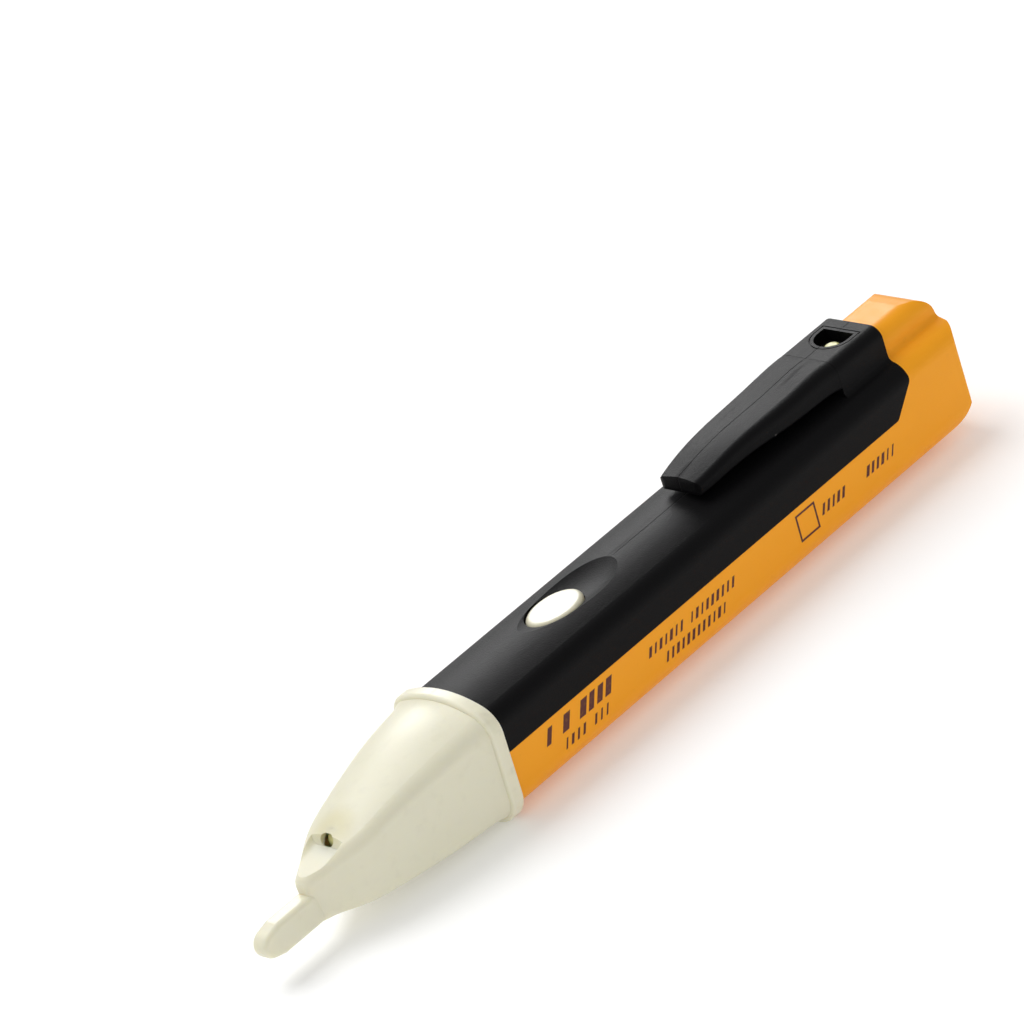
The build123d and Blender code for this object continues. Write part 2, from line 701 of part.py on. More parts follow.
# ---------------------------------------------------------------- cells and contacts
cell_x = {"front_cell": cells_front_x, "rear_cell": cells_front_x + cell_length}
can_radius = cell_radius - sleeve_thickness
for name, x in cell_x.items():
    shoulder_x = x + cell_nub_height
    base_x = x + cell_length
    profile = ((x, 0), (x, cell_nub_diameter / 2), (shoulder_x, cell_nub_diameter / 2),
               (shoulder_x, can_radius), (base_x - 0.25, can_radius),
               (base_x - 0.25, can_radius - 1.4), (base_x, can_radius - 1.7), (base_x, 0))
    with BuildPart() as cell:
        with BuildSketch(Plane.XZ):
            with BuildLine():
                Polyline(*[(along, cell_axis_z + radius) for along, radius in profile], close=True)
            make_face()
        revolve(axis=Axis((0, 0, cell_axis_z), (1, 0, 0)))
        rims = cell.edges().filter_by(GeomType.CIRCLE)
        nub_rim = rims.sort_by(Axis.X)[0]
        fillet([nub_rim, rims.filter_by(lambda e: abs(e.center().X - shoulder_x) < 0.01)
                .sort_by(SortBy.LENGTH)[-1]], 0.3)
    cell.part.label = name
    export_step(cell.part, "parts/" + name + ".step")

    with BuildPart() as sleeve:
        with BuildSketch(Plane.YZ.offset(x + cell_nub_height + 0.4)):
            with Locations((0, cell_axis_z)):
                Circle(cell_radius)
                Circle(cell_radius - sleeve_thickness, mode=Mode.SUBTRACT)
        extrude(amount=cell_length - cell_nub_height - 0.8)
    sleeve.part.label = name + "_sleeve"
    export_step(sleeve.part, "parts/" + name + "_sleeve.step")

with BuildPart() as front_contact:
    with BuildSketch(Plane.YZ.offset(bay_front_x)):
        with Locations((0, cell_axis_z + 0.6)):
            RectangleRounded(6.4, 6.4, 0.8)
        with Locations((0, cell_axis_z)):
            Rectangle(strip_width, deck_top - cell_axis_z, align=(Align.CENTER, Align.MIN))
    extrude(amount=plate_thickness)
front_contact.part.label = "front_contact"
export_step(front_contact.part, "parts/front_contact.step")

with BuildPart() as rear_contact:
    with BuildSketch(Plane.YZ.offset(bay_back_x - plate_thickness)):
        with Locations((0, cell_axis_z)):
            Circle(cell_radius - 0.3)
            Rectangle(cell_diameter, cell_diameter - 3.6, mode=Mode.INTERSECT)
        with Locations((strip_y, cell_axis_z + 1.6)):
            Rectangle(strip_width, deck_top + plate_thickness - cell_axis_z - 1.6,
                      align=(Align.CENTER, Align.MIN))
    extrude(amount=plate_thickness)
rear_contact.part.label = "rear_contact"
export_step(rear_contact.part, "parts/rear_contact.step")

with BuildPart() as return_strip:
    with BuildSketch(Plane.XZ.offset(-strip_y - strip_width / 2)):
        with BuildLine():
            end_x = bay_back_x - plate_thickness - 0.05
            over = board_top + plate_thickness
            Polyline((end_x, deck_top), (end_x, deck_top + plate_thickness),
                     (board_back_x + 0.4, deck_top + plate_thickness), (board_back_x + 0.4, over),
                     (board_back_x - 1.4, over), (board_back_x - 1.4, board_top),
                     (board_back_x + 0.1, board_top), (board_back_x + 0.1, deck_top), close=True)
        make_face()
    extrude(amount=strip_width)
return_strip.part.label = "return_strip"
export_step(return_strip.part, "parts/return_strip.step")

with BuildPart() as rear_spring:
    coil_room = spring_room - spring_wire
    with BuildLine() as coil:
        Helix(pitch=coil_room / 3.5, height=coil_room, radius=2.3, cone_angle=16,
              center=(cells_back_x + spring_wire / 2, 0, cell_axis_z), direction=(1, 0, 0))
    with BuildSketch(Plane(origin=coil.line @ 0, z_dir=coil.line % 0)):
        Circle(spring_wire / 2)
    sweep(is_frenet=True)
rear_spring.part.label = "rear_spring"
export_step(rear_spring.part, "parts/rear_spring.step")

# ---------------------------------------------------------------- circuit board and its parts
board_step_x = flange_x - 8.0
buzzer_x = flange_x - 5.8
with BuildPart() as circuit_board:
    with BuildSketch(Plane.XY.offset(deck_top)) as board_plan:
        with BuildLine():
            Polyline((board_front_x, -board_nose_half_width), (board_step_x, -board_nose_half_width),
                     (board_step_x + 3, -board_half_width), (board_back_x, -board_half_width),
                     (board_back_x, board_half_width), (board_step_x + 3, board_half_width),
                     (board_step_x, board_nose_half_width), (board_front_x, board_nose_half_width),
                     close=True)
        make_face()
        fillet(board_plan.vertices().group_by(Axis.X)[-1], 0.8)
        with Locations(*board_screw_places):
            Circle(board_screw_diameter / 2 + 2 * screw_gap, mode=Mode.SUBTRACT)
    extrude(amount=board_thickness)
circuit_board.part.label = "circuit_board"
export_step(circuit_board.part, "parts/circuit_board.step")

with BuildPart() as switch_base:
    with BuildSketch(Plane.XY.offset(board_top)):
        with Locations((button_x, 0)):
            RectangleRounded(5.2, 5.2, 0.5)
    extrude(amount=switch_height)
    with BuildSketch(Plane.XY.offset(board_top + 0.3)):
        with Locations((button_x, 0)):
            Circle(plunger_diameter / 2 + 0.1)
    extrude(amount=switch_height, mode=Mode.SUBTRACT)
switch_base.part.label = "switch_base"
export_step(switch_base.part, "parts/switch_base.step")

with BuildPart() as switch_shield:
    with BuildSketch(Plane.XY.offset(board_top + switch_height)):
        with Locations((button_x, 0)):
            RectangleRounded(5.2, 5.2, 0.5)
            Circle(plunger_diameter / 2 + 0.1, mode=Mode.SUBTRACT)
    extrude(amount=shield_thickness)
switch_shield.part.label = "switch_shield"
export_step(switch_shield.part, "parts/switch_shield.step")

with BuildPart() as switch_plunger:
    with BuildSketch(Plane.XY.offset(board_top + 0.3 + button_travel + 0.1)):
        with Locations((button_x, 0)):
            Circle(plunger_diameter / 2)
    extrude(amount=plunger_height - 0.4 - button_travel)
    fillet(switch_plunger.edges().group_by(Axis.Z)[-1], 0.15)
switch_plunger.part.label = "switch_plunger"
export_step(switch_plunger.part, "parts/switch_plunger.step")

with BuildPart() as buzzer:
    with BuildSketch(Plane.XY.offset(deck_top)):
        with Locations((buzzer_x, 0)):
            Circle(buzzer_diameter / 2)
    extrude(amount=-buzzer_height)
    with BuildSketch(Plane.XY.offset(deck_top - buzzer_height)):
        with Locations((buzzer_x, 0)):
            Circle(0.9)
    extrude(amount=1.5, mode=Mode.SUBTRACT)
    fillet(buzzer.edges().group_by(Axis.Z)[0].sort_by(SortBy.LENGTH)[-1], 0.4)
buzzer.part.label = "buzzer"
export_step(buzzer.part, "parts/buzzer.step")

with BuildPart() as control_chip:
    chip_x = mouth_x + 11.6
    with BuildSketch(Plane.XY.offset(board_top + 0.15)):
        with Locations((chip_x, 0)):
            Rectangle(5.0, 4.0)
    extrude(amount=1.35)
    with BuildSketch(Plane.XY.offset(board_top)):
        with Locations((chip_x, 0)):
            with GridLocations(1.27, 5.2, 4, 2):
                Rectangle(0.4, 1.4)
    extrude(amount=0.5)
control_chip.part.label = "control_chip"
export_step(control_chip.part, "parts/control_chip.step")

with BuildPart() as board_resistors:
    with BuildSketch(Plane.XY.offset(board_top)):
        with Locations((flange_x - 3.5, 0)):
            with GridLocations(2.2, 2.6, 3, 3):
                Rectangle(1.6, 0.8)
        with Locations((button_x + 11.0, 0)):
            with GridLocations(2.4, 2.4, 2, 2):
                Rectangle(1.6, 0.8)
    extrude(amount=0.5)
board_resistors.part.label = "board_resistors"
export_step(board_resistors.part, "parts/board_resistors.step")

with BuildPart() as board_capacitors:
    with BuildSketch(Plane.XY.offset(board_top)):
        with Locations((flange_x - 9.2, 0)):
            with GridLocations(2.6, 2.8, 1, 2):
                Rectangle(2.0, 1.25)
        with Locations((button_x + 6.6, 0)):
            with GridLocations(2.8, 4.4, 1, 2):
                Rectangle(2.0, 1.25)
    extrude(amount=0.95)
board_capacitors.part.label = "board_capacitors"
export_step(board_capacitors.part, "parts/board_capacitors.step")

with BuildPart() as board_transistors:
    with BuildSketch(Plane.XY.offset(board_top)):
        with Locations((flange_x - 13.0, 0), (button_x + 15.0, 1.6), (button_x + 15.0, -1.6)):
            Rectangle(1.3, 2.6)
    extrude(amount=0.95)
board_transistors.part.label = "board_transistors"
export_step(board_transistors.part, "parts/board_transistors.step")

with BuildPart() as alarm_led:
    alarm_x = board_front_x + 4.4
    with BuildSketch(Plane.XY.offset(board_top)):
        with Locations((alarm_x, 0)):
            RectangleRounded(2.6, 2.2, 0.2)
    extrude(amount=0.6)
    with BuildSketch(Plane.XY.offset(board_top + 0.6)):
        with Locations((alarm_x, 0)):
            Circle(0.85)
    extrude(amount=0.5)
    fillet(alarm_led.edges().group_by(Axis.Z)[-1], 0.3)
alarm_led.part.label = "alarm_led"
export_step(alarm_led.part, "parts/alarm_led.step")

with BuildPart() as torch_led:
    led_foot = led_recess + led_height
    with BuildSketch(torch_plane(led_foot)):
        Circle(led_diameter / 2)
    extrude(amount=led_height)
    fillet(torch_led.faces().sort_by(Axis.Z)[-1].edges(), 1.2)
    with BuildSketch(torch_plane(led_foot)):
        Circle(led_diameter / 2 + 0.3)
    extrude(amount=0.8)
torch_led.part.label = "torch_led"
export_step(torch_led.part, "parts/torch_led.step")

with BuildPart() as led_leads:
    start = torch_plane(led_foot).origin
    lead_diameter = 0.5
    for y in (-1.0, 1.0):
        with BuildLine() as route:
            FilletPolyline((start.X, y, start.Z), (start.X + 0.5, y, start.Z - 1.4),
                           (board_front_x + 1.0, y, start.Z - 1.4), (board_front_x + 1.0, y, deck_top),
                           radius=0.5)
        with BuildSketch(Plane(origin=route.line @ 0, z_dir=route.line % 0)):
            Circle(lead_diameter / 2)
        sweep()
    add(torch_led.part, mode=Mode.SUBTRACT)
led_leads.part.label = "led_leads"
export_step(led_leads.part, "parts/led_leads.step")

with BuildPart() as sensor_antenna:
    with BuildSketch(Plane.XZ) as strip_side:
        riser_x = board_front_x + 5.0
        low = blade_z - antenna_height / 2
        with BuildLine():
            Polyline((tip_x + 2.6, low), (riser_x + 1.0, low), (riser_x + 1.0, deck_top),
                     (riser_x, deck_top), (riser_x, low + antenna_height),
                     (tip_x + 2.6, low + antenna_height), close=True)
        make_face()
    extrude(amount=antenna_thickness / 2, both=True)
sensor_antenna.part.label = "sensor_antenna"
export_step(sensor_antenna.part, "parts/sensor_antenna.step")

# ---------------------------------------------------------------- screws
with BuildPart() as tray_screws:
    with BuildSketch(Plane.YZ.offset(bay_front_x)):
        with Locations((-boss_y, boss_z), (boss_y, boss_z)):
            Circle(screw_head_diameter / 2)
    extrude(amount=-screw_head_height)
    with BuildSketch(Plane.YZ.offset(bay_front_x - screw_reach)):
        with Locations((-boss_y, boss_z), (boss_y, boss_z)):
            Circle(screw_diameter / 2)
    extrude(amount=screw_reach)
    with BuildSketch(Plane.YZ.offset(bay_front_x)):
        with Locations((-boss_y, boss_z), (boss_y, boss_z)):
            Rectangle(1.7, 0.4)
            Rectangle(0.4, 1.7)
    extrude(amount=-screw_head_height * 0.6, mode=Mode.SUBTRACT)
tray_screws.part.label = "tray_screws"
export_step(tray_screws.part, "parts/tray_screws.step")

with BuildPart() as board_screws:
    with BuildSketch(Plane.XY.offset(board_top)):
        with Locations(*board_screw_places):
            Circle(1.2)
    extrude(amount=0.8)
    with BuildSketch(Plane.XY.offset(board_screw_foot_z + 0.1)):
        with Locations(*board_screw_places):
            Circle(board_screw_diameter / 2)
    extrude(amount=board_top - board_screw_foot_z)
    with BuildSketch(Plane.XY.offset(board_top + 0.8)):
        with Locations(*board_screw_places):
            Rectangle(1.5, 0.35)
            Rectangle(0.35, 1.5)
    extrude(amount=-0.5, mode=Mode.SUBTRACT)
board_screws.part.label = "board_screws"
export_step(board_screws.part, "parts/board_screws.step")
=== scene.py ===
"""A pen-sized voltage tester: finishes, printed marks, board detail and a studio."""

import math

import bmesh
import bpy
from bpy.props import FloatProperty, FloatVectorProperty, IntProperty, PointerProperty
from mathutils import Matrix, Vector
from mathutils.bvhtree import BVHTree


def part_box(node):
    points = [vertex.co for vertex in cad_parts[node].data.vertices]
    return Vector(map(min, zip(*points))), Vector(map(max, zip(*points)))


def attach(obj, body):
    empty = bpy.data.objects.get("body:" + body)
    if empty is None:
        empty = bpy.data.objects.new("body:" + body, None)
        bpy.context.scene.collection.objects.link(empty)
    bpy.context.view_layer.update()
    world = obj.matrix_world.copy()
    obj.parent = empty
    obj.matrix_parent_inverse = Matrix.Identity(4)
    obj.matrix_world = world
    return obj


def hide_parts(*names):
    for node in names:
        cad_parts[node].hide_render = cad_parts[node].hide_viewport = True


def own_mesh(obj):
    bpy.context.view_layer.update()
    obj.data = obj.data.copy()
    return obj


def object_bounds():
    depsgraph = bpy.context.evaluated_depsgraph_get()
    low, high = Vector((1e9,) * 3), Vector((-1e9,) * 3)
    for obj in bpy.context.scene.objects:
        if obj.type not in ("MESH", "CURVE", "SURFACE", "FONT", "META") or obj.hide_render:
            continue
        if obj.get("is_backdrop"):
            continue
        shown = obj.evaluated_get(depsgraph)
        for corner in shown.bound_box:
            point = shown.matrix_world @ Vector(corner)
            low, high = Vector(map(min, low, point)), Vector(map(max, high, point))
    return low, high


bl_info = {
    "name": "Pocket Voltage Tester",
    "version": (1, 0, 0),
    "blender": (4, 5, 0),
    "location": "View3D > Sidebar > Tester",
    "description": "Gives a pocket voltage tester its finishes, markings, board detail and studio",
    "category": "Object",
}

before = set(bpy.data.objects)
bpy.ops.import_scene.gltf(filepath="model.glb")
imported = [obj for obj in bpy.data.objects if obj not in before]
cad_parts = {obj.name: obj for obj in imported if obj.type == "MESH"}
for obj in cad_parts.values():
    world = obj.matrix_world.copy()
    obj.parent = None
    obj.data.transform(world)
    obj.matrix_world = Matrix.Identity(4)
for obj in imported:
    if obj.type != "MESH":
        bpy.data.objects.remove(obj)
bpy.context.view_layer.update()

MM = 0.001
SHELL, INNER = "shell", "inner_assembly"
IVORY_DEPTHS = (1.0, 0.85, 0.5)


def middle(node):
    """The centre of a part's box."""
    low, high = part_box(node)
    return (Vector(low) + Vector(high)) / 2


# ------------------------------------------------------------------ shader maths
class Field:
    """A socket in a material, or a number, with arithmetic that adds the material's Math nodes."""

    def __init__(self, tree, socket):
        self.tree, self.socket = tree, socket

    def math(self, operation, *values):
        node = self.tree.nodes.new("ShaderNodeMath")
        node.operation = operation
        for slot, value in zip(node.inputs, values):
            plug(self.tree, slot, value)
        return Field(self.tree, node.outputs[0])

    def __add__(self, other):
        return self.math("ADD", self, other)

    def __radd__(self, other):
        return self.math("ADD", other, self)

    def __sub__(self, other):
        return self.math("SUBTRACT", self, other)

    def __rsub__(self, other):
        return self.math("SUBTRACT", other, self)

    def __mul__(self, other):
        return self.math("MULTIPLY", self, other)

    def __rmul__(self, other):
        return self.math("MULTIPLY", other, self)

    def __truediv__(self, other):
        return self.math("DIVIDE", self, other)

    def __pow__(self, other):
        return self.math("POWER", self, other)

    def __abs__(self):
        return self.math("ABSOLUTE", self)

    def over(self, other):
        """1 where this is greater than the other value, else 0."""
        return self.math("GREATER_THAN", self, other)

    def under(self, other):
        """1 where this is less than the other value, else 0."""
        return self.math("LESS_THAN", self, other)

    def wrap(self, period):
        """Distance from the middle of each period."""
        return self.math("WRAP", self, period / 2, -period / 2)

    def smallest(self, other):
        return self.math("MINIMUM", self, other)

    def largest(self, other):
        return self.math("MAXIMUM", self, other)


def plug(tree, slot, value):
    """Link a field to a node's input, or set the input to a plain value."""
    if isinstance(value, Field):
        tree.links.new(value.socket, slot)
    else:
        slot.default_value = value


class Finish:
    """A material under construction, with its pattern coordinates in millimetres."""

    def __init__(self, name, **constants):
        self.material = bpy.data.materials.new(name)
        self.material.use_nodes = True
        self.tree = self.material.node_tree
        self.shader = self.tree.nodes["Principled BSDF"]
        for socket, value in constants.items():
            self.shader.inputs[socket.replace("_", " ")].default_value = value
        place = self.add("ShaderNodeTexCoord", out="Object")
        self.place = self.add("ShaderNodeVectorMath", {"operation": "SCALE"},
                              {"Vector": place, "Scale": 1 / MM})
        self.x, self.y, self.z = (
            self.add("ShaderNodeSeparateXYZ", inputs={"Vector": self.place}, out=axis) for axis in "XYZ")

    def add(self, kind, settings=None, inputs=None, out=0):
        """Add any node, with its settings first and then its inputs, and return one of its outputs."""
        node = self.tree.nodes.new(kind)
        for name, value in (settings or {}).items():
            setattr(node, name, value)
        for name, value in (inputs or {}).items():
            plug(self.tree, node.inputs[name], value)
        return Field(self.tree, node.outputs[out])

    def noise(self, scale, detail=2.0, stretch=(1, 1, 1)):
        """Cloudy noise, in features per millimetre, stretched along an axis by a small number."""
        place = self.add("ShaderNodeVectorMath", {"operation": "MULTIPLY"},
                         {0: self.place, 1: stretch})
        return self.add("ShaderNodeTexNoise", inputs={"Vector": place, "Scale": scale, "Detail": detail})

    def spots(self, scale, radius):
        """Round spots of a share of a cell's size, scattered one to a cell."""
        near = self.add("ShaderNodeTexVoronoi", inputs={"Vector": self.place, "Scale": scale})
        return near.under(radius)

    def step(self, value, low, high):
        """A smooth step from 0 at low to 1 at high."""
        return self.add("ShaderNodeMapRange", {"interpolation_type": "SMOOTHSTEP"},
                        {"Value": value, "From Min": low, "From Max": high})

    def mix(self, share, first, second):
        """Blend of two colours."""
        node = self.tree.nodes.new("ShaderNodeMix")
        node.data_type = "RGBA"
        plug(self.tree, node.inputs["Factor"], share)
        plug(self.tree, node.inputs[6], first if isinstance(first, Field) else (*first, 1))
        plug(self.tree, node.inputs[7], second if isinstance(second, Field) else (*second, 1))
        return Field(self.tree, node.outputs[2])

    def relief(self, height):
        """Bump from a height in millimetres."""
        bump = self.add("ShaderNodeBump", inputs={"Height": height, "Distance": MM, "Strength": 1.0})
        self.dress(Normal=bump)

    def dress(self, **fields):
        """Feed the shader's own sockets."""
        for socket, value in fields.items():
            plug(self.tree, self.shader.inputs[socket.replace("_", " ")], value)
        return self.material


# ------------------------------------------------------------------ finishes
def shell_plastic(colours):
    """Satin orange-yellow plastic with faint flow marks and a fine moulded grain."""
    finish = Finish("shell_plastic", IOR=1.48, Specular_IOR_Level=0.22, Subsurface_Weight=0.06,
                    Subsurface_Radius=(1.0, 0.35, 0.08), Subsurface_Scale=1.2 * MM)
    cloud = finish.noise(0.05, 3.0, (0.4, 1, 1))
    tone = finish.mix(cloud, Vector(colours.shell) * 0.95, Vector(colours.shell) * 1.04)
    dirt = finish.step(finish.noise(0.8, 5.0), 0.62, 0.82) * 0.16
    tone = finish.mix(dirt, tone, Vector(colours.shell) * 0.55)
    scratch = finish.step(finish.noise(1.6, 1.0, (0.05, 1.2, 2.2)), 0.71, 0.76)
    finish.relief(finish.noise(3.2, 3.0) * 0.010 + finish.noise(0.12, 1.0) * 0.02 - scratch * 0.004)
    rough = 0.36 + finish.noise(0.7, 3.0) * 0.14 + scratch * 0.1
    return finish.dress(Base_Color=tone, Roughness=rough)


def cover_plastic(colours):
    """Black plastic with a fine spark-eroded grain, a mould line, pale dust and faint scuffs."""
    finish = Finish("cover_plastic", IOR=1.46, Specular_IOR_Level=0.09)
    grain = finish.noise(4.5, 3.0)
    cloud = finish.noise(0.09, 3.0, (0.3, 1, 1))
    scuff = finish.step(finish.noise(0.55, 4.0, (0.12, 1, 1)), 0.60, 0.80)
    dust = finish.spots(0.16, 0.032) * finish.step(finish.noise(0.11), 0.45, 0.6)
    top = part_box("grip_cover")[1][2] / MM
    line_start = middle("power_button").x / MM + 13
    line = (1 - finish.step(abs(finish.y), 0.02, 0.13)) * finish.step(finish.z, top - 7.0, top - 6.0)
    line = line * finish.step(finish.x, line_start, line_start + 2)
    tone = finish.mix(cloud * 0.8 + scuff * 0.3, colours.cover, Vector(colours.cover) * 1.7)
    tone = finish.mix(line * 0.75, tone, Vector(colours.cover) * 0.35)
    tone = finish.mix(dust * 0.5, tone, (0.20, 0.19, 0.18))
    finish.relief(grain * 0.045 - line * 0.06 + finish.noise(0.25, 1.0) * 0.01)
    rough = 0.38 + grain * 0.16 + scuff * 0.12 + dust * 0.1
    return finish.dress(Base_Color=tone, Roughness=rough)


def nose_plastic(colours):
    """Ivory plastic that lets a little light through, with an olive ring of painted shade round the lens
    opening.
    """
    finish = Finish("nose_plastic", IOR=1.5, Specular_IOR_Level=0.5, Subsurface_Weight=0.35,
                    Subsurface_Radius=IVORY_DEPTHS, Subsurface_Scale=2.0 * MM)
    led = middle("torch_led") / MM
    away = ((finish.x - led.x + 1.4) ** 2.0 + finish.y ** 2.0) ** 0.5
    # painted shade: an olive ring on the nose's upper surface round the lens opening
    painted_lens_shade = (1 - finish.step(away, 1.2, 4.6)) * finish.step(finish.z, led.z, led.z + 2.0)
    cloud = finish.noise(0.07, 3.0)
    tone = finish.mix(cloud, Vector(colours.nose) * 0.97, Vector(colours.nose) * 1.03)
    tone = finish.mix(painted_lens_shade * 0.35, tone, colours.lens_shade_tint)
    rim = finish.step(finish.x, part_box("nose_seal")[0][0] / MM - 2.6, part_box("nose_seal")[0][0] / MM)
    olive_darkening = finish.step(finish.noise(0.5, 5.0), 0.52, 0.78) * (0.08 + rim * 0.25)
    tone = finish.mix(olive_darkening, tone, (0.42, 0.38, 0.27))
    scratch = finish.step(finish.noise(1.4, 1.0, (0.08, 1.1, 2.0)), 0.70, 0.76)
    finish.relief(finish.noise(2.6, 2.0) * 0.006 + finish.noise(0.15, 1.0) * 0.02 - scratch * 0.004)
    rough = 0.33 + finish.noise(0.6, 3.0) * 0.12 + scratch * 0.12
    return finish.dress(Base_Color=tone, Roughness=rough)


def button_plastic(colours):
    """Ivory button cap, polished by fingers in the middle and duller at its rim, where an olive
    darkening is painted shade.
    """
    finish = Finish("button_plastic", IOR=1.5, Specular_IOR_Level=0.5, Subsurface_Weight=0.25,
                    Subsurface_Radius=IVORY_DEPTHS, Subsurface_Scale=1.5 * MM)
    low, high = (Vector(corner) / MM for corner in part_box("power_button"))
    centre = (low + high) / 2
    half = (high - low) / 2
    out = (((finish.x - centre.x) / half.x) ** 2.0 + (finish.y / half.y) ** 2.0) ** 0.5
    rim = finish.step(out, 0.55, 0.86)
    # painted shade: an uneven olive darkening round the button's rim
    olive_darkening = rim * (0.25 + finish.noise(1.2, 4.0) * 0.6)
    tone = finish.mix(olive_darkening, Vector(colours.nose) * 0.94, (0.44, 0.40, 0.26))
    finish.relief(finish.noise(3.0, 2.0) * 0.006 - rim * 0.01)
    return finish.dress(Base_Color=tone, Roughness=0.28 + rim * 0.14 + finish.noise(0.8) * 0.08)


def pin_plastic(colours):
    """Yellow-green release pin with a worn top."""
    finish = Finish("pin_plastic", IOR=1.49)
    worn = finish.step(finish.noise(1.5, 4.0), 0.48, 0.7)
    tone = finish.mix(worn * 0.6, colours.pin, Vector(colours.pin) * 0.55)
    finish.relief(finish.noise(3.5, 2.0) * 0.008)
    return finish.dress(Base_Color=tone, Roughness=0.32 + worn * 0.2)


def seal_rubber(colours):
    """Dark soft rubber with bloom."""
    finish = Finish("seal_rubber", Specular_IOR_Level=0.25)
    bloom = finish.step(finish.noise(0.9, 5.0), 0.45, 0.75)
    tone = finish.mix(bloom * 0.5, (0.018, 0.016, 0.015), (0.07, 0.065, 0.06))
    finish.relief(finish.noise(2.8, 3.0) * 0.015)
    return finish.dress(Base_Color=tone, Roughness=0.72 + bloom * 0.15)


def tray_plastic(colours):
    """Natural tray moulding with drag marks along the draw and sink marks."""
    finish = Finish("tray_plastic", IOR=1.48, Specular_IOR_Level=0.4)
    drag = finish.noise(1.6, 3.0, (0.04, 1, 1))
    cloud = finish.noise(0.12, 3.0)
    tone = finish.mix(cloud, Vector(colours.tray) * 0.92, Vector(colours.tray) * 1.04)
    tone = finish.mix(finish.step(finish.noise(0.7, 6.0), 0.6, 0.85) * 0.3, tone, (0.25, 0.22, 0.16))
    finish.relief(drag * 0.012 + finish.noise(3.4, 2.0) * 0.008)
    return finish.dress(Base_Color=tone, Roughness=0.42 + drag * 0.15)


def solder_mask(colours):
    """Green laminate: masked top with buried tracks, and a tan sawn edge."""
    finish = Finish("solder_mask", IOR=1.5)
    low, high = (Vector(corner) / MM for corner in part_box("circuit_board"))
    tracks = abs((finish.y + 0.4).wrap(1.27)).under(0.2)
    branches = abs((finish.x + finish.y * 0.6).wrap(5.1)).under(0.22)
    choose = finish.noise(0.22, 1.0, (1, 2.2, 1)).over(0.52)
    copper = tracks * choose + branches * (1 - choose)
    masked = finish.mix(copper * 0.8, colours.board, Vector(colours.board) * 2.1)
    vias = abs(finish.x.wrap(5.1)).largest(abs((finish.y + 0.4).wrap(2.54))).under(0.16)
    masked = finish.mix(vias * choose, masked, (0.62, 0.60, 0.55))
    edge = 1 - (finish.z.under(low.z + 0.04) + finish.z.over(high.z - 0.04)).smallest(1.0)
    tone = finish.mix(edge, masked, (0.36, 0.30, 0.14))
    weave = finish.noise(2.4, 2.0, (1, 0.2, 1)) + finish.noise(2.4, 2.0, (0.2, 1, 1))
    finish.relief(copper * 0.03 + weave * 0.004)
    return finish.dress(Base_Color=tone, Roughness=0.26 + edge * 0.45 + weave * 0.05)


def chip_epoxy(colours):
    """Moulded black epoxy, with the legs beside a chip left as tinned metal."""
    finish = Finish("chip_epoxy")
    half_body = 2.0
    low, high = (Vector(corner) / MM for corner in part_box("control_chip"))
    beside = abs(finish.y).over(half_body + 0.02) * finish.x.over(low.x) * finish.x.under(high.x)
    dot = (((finish.x - low.x - 0.8) ** 2.0 + (finish.y + 1.35) ** 2.0) ** 0.5).under(0.32)
    dot = dot * finish.z.over(high.z - 0.05)
    tone = finish.mix(finish.noise(1.5, 4.0), (0.016, 0.016, 0.017), (0.032, 0.031, 0.030))
    tone = finish.mix(dot, tone, (0.12, 0.12, 0.12))
    tone = finish.mix(beside, tone, (0.68, 0.67, 0.64))
    finish.relief(finish.noise(5.0, 3.0) * 0.012 - dot * 0.05)
    return finish.dress(Base_Color=tone, Roughness=0.55 - beside * 0.25 + finish.noise(2.0) * 0.08,
                        Metallic=beside)


def end_capped(name, body_tone, periods, part_length):
    """Ceramic chips in rows along the board, each with tinned ends."""
    finish = Finish(name)
    split, front_start, front_pitch, rear_start, rear_pitch = periods
    rear = finish.x.over(split)
    along_front = abs((finish.x - front_start).wrap(front_pitch))
    along_rear = abs((finish.x - rear_start).wrap(rear_pitch))
    along = along_front * (1 - rear) + along_rear * rear
    ends = along.over(part_length / 2 - 0.3)
    speckle = finish.noise(3.0, 4.0)
    tone = finish.mix(speckle, Vector(body_tone) * 0.8, Vector(body_tone) * 1.15)
    tone = finish.mix(ends, tone, (0.70, 0.69, 0.66))
    finish.relief(ends * 0.03 + speckle * 0.01)
    return finish.dress(Base_Color=tone, Roughness=0.42 - ends * 0.14 + speckle * 0.06, Metallic=ends)


def brushed_metal(name, tone, grain, stain):
    """Metal with a drawn grain along the pen and patches of dulling."""
    finish = Finish(name, Metallic=1.0)
    draw = finish.noise(2.6, 3.0, grain)
    dull = finish.step(finish.noise(0.6, 4.0), 0.45, 0.75)
    colour = finish.mix(dull * stain, tone, Vector(tone) * 0.55)
    finish.relief(draw * 0.006)
    return finish.dress(Base_Color=colour, Roughness=0.22 + draw * 0.12 + dull * stain * 0.3)


